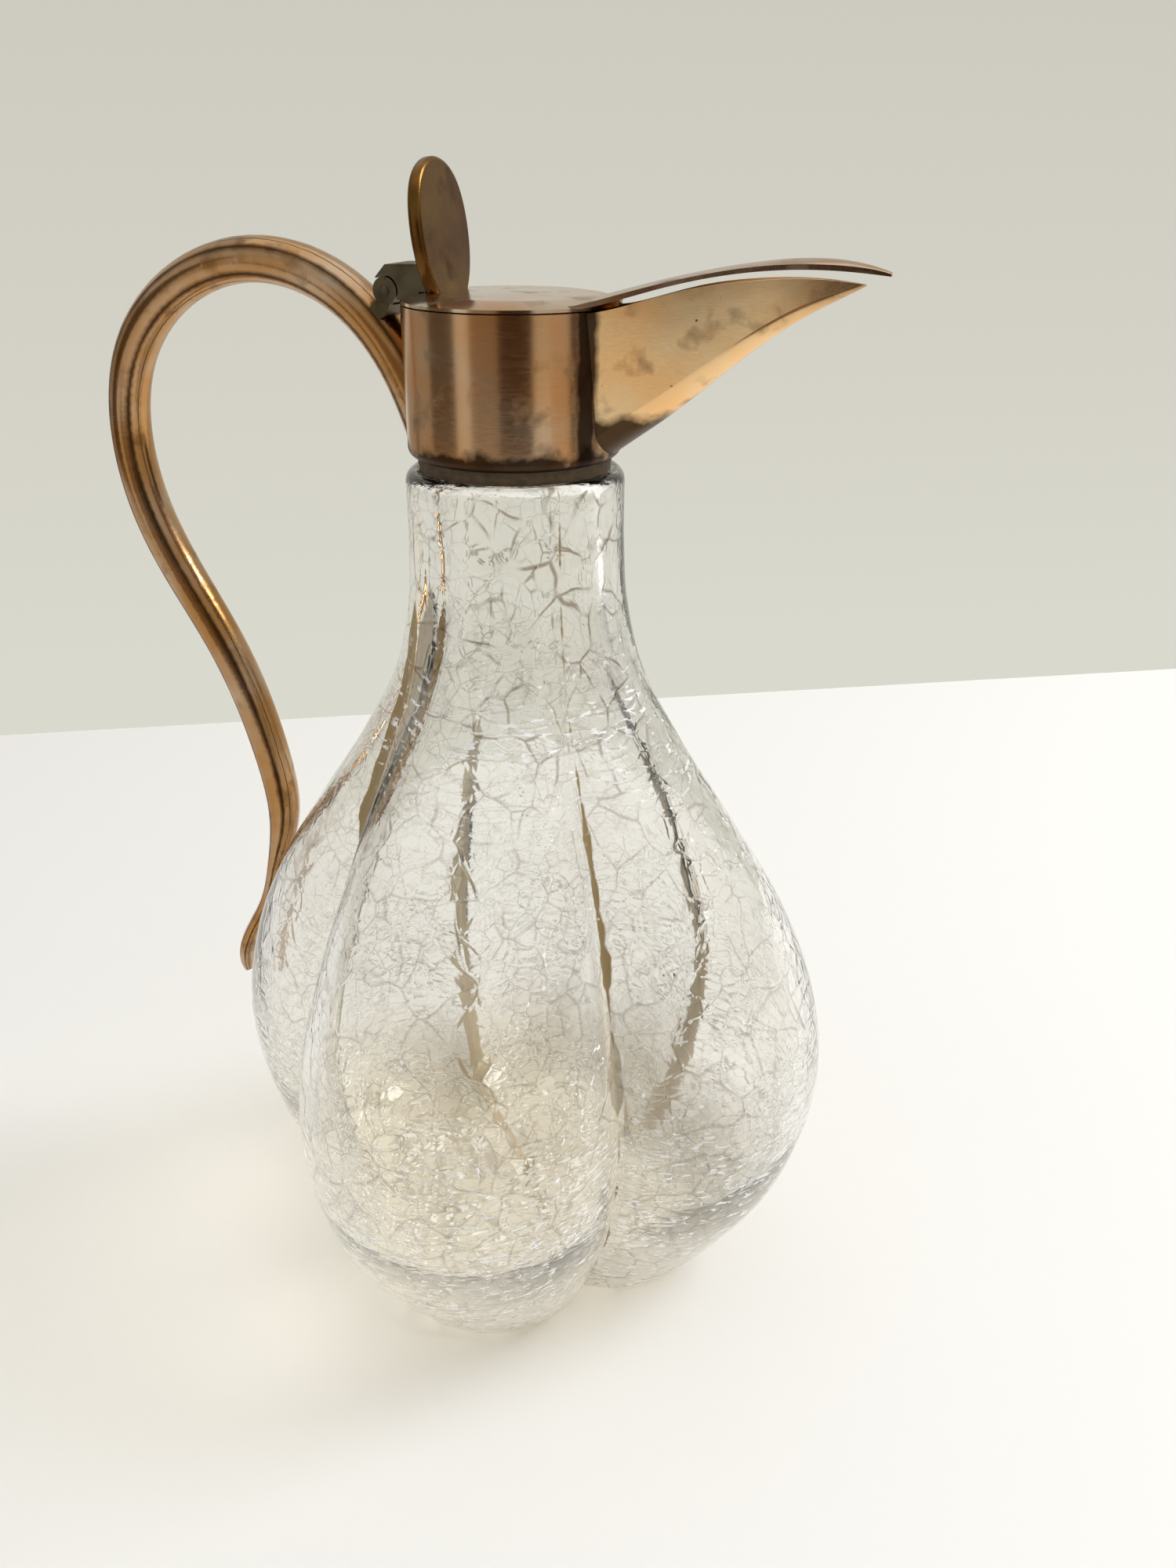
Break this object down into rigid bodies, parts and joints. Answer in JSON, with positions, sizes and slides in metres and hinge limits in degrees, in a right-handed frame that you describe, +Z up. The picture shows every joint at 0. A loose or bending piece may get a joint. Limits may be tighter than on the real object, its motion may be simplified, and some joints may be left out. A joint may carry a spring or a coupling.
{
  "type": "liqueur jug with hinged lid",
  "caption": "lobed crackle-glass liqueur jug with a plated metal collar, long beak spout, scrolled loop handle and hinged beak lid with thumbpiece",
  "frame": {"origin": "on the vessel's axis, at the face it stands on", "axes": "+Z up along the vessel, +X out along the spout, handle towards -X, +Y to the left of the spout seen from the handle"},
  "size_m": [0.1471, 0.125, 0.2182],
  "materials": {
    "glass": "clear with a net of fine cracks",
    "plaster": "dry stained plaster",
    "plate": "worn silver plate, copper and brass showing",
    "tarnished": "dull dark tarnish",
    "worn_brass": "darkened brass"
  },
  "bodies": {
    "jug": {"glass_vessel": "glass", "plaster_ring": "plaster", "collar": "plate", "spout": "plate", "handle": "plate", "hinge_saddle": "tarnished", "hinge_pin": "tarnished"},
    "lid": {"lid_plate": "plate", "lid_beak": "plate", "lid_arm": "tarnished", "thumbpiece": "worn_brass"}
  },
  "joints": [
    {"name": "lid_hinge", "type": "hinge", "parent": "jug", "child": "lid", "pos_m": [-0.0213, 0, 0.1979], "axis": [0, -1, 0], "range_deg": [0, 85]}
  ]
}
